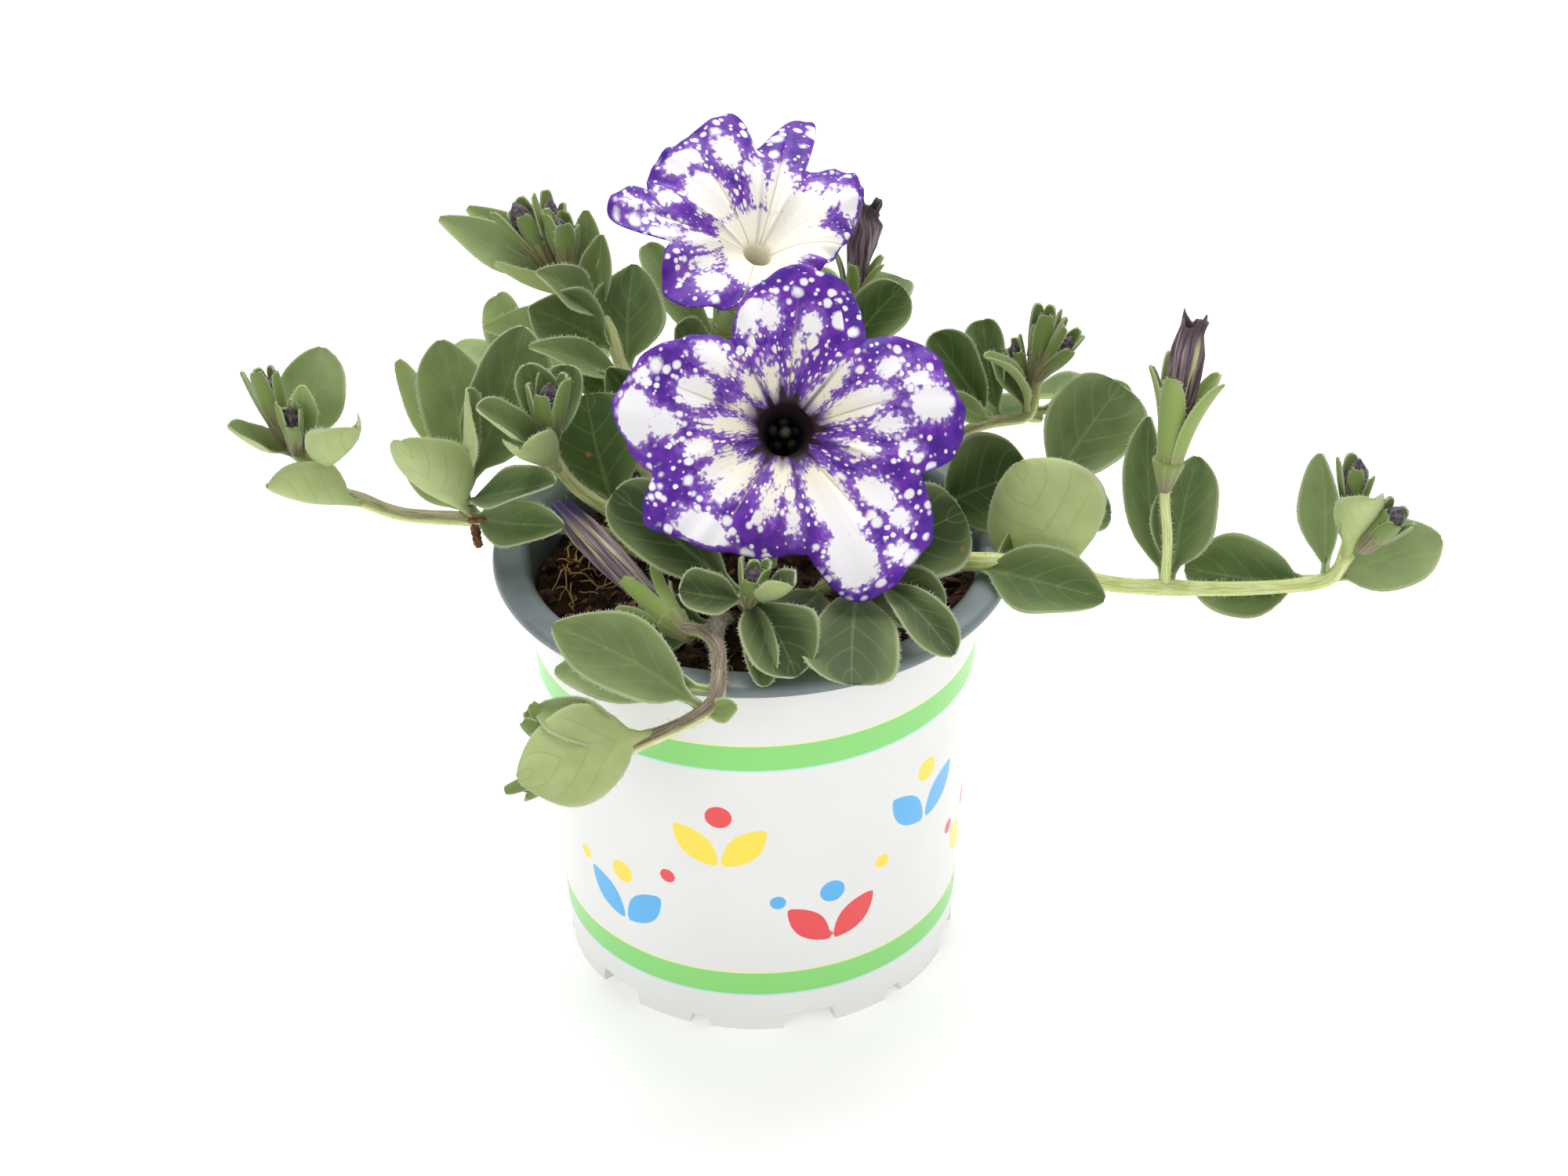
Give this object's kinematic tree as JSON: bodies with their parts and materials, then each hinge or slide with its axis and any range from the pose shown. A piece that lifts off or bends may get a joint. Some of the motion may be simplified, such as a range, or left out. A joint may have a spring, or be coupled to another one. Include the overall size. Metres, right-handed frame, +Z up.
{
  "type": "potted petunia",
  "caption": "Young trailing petunia with speckled open blooms, withered blooms and buds on leafy stems, growing in soil in a round tapered nursery pot.",
  "frame": {"origin": "on the pot's axis at the level the pot stands on, the middle of the flat disc under its base", "axes": "+Z up, -Y towards the side that the front bloom faces, +X to its right as seen from that side"},
  "size_m": [0.2385, 0.151, 0.1619],
  "materials": {
    "pot_plastic": "thin white printed polypropylene with a grey inside and flange",
    "soil": "dark brown peat soil with bark, dull",
    "foliage": "soft green leaves and stems with fine pale hairs, dull",
    "petal": "thin violet petal with white speckles, satin",
    "stamen": "pale green style and dark anthers, dull",
    "withered_petal": "dried brown-purple petal, crumpled and dull"
  },
  "bodies": {
    "root": {"pot": "pot_plastic", "soil": "soil", "shoot_left_branch": "foliage", "shoot_mid_left": "foliage", "shoot_back_left": "foliage", "shoot_back": "foliage", "shoot_back_right": "foliage", "shoot_right_back": "foliage", "shoot_right": "foliage", "shoot_right_runner": "foliage", "shoot_front_left_runner": "foliage", "shoot_front": "foliage", "shoot_front_right": "foliage", "shoot_centre": "foliage", "shoot_rear_left": "foliage", "shoot_rear_middle": "foliage", "shoot_rear_right": "foliage", "corolla_front": "petal", "corolla_back": "petal", "stamens_front": "stamen", "stamens_back": "stamen", "withered_front_left": "withered_petal", "withered_right": "withered_petal", "withered_back": "withered_petal"}
  },
  "joints": []
}
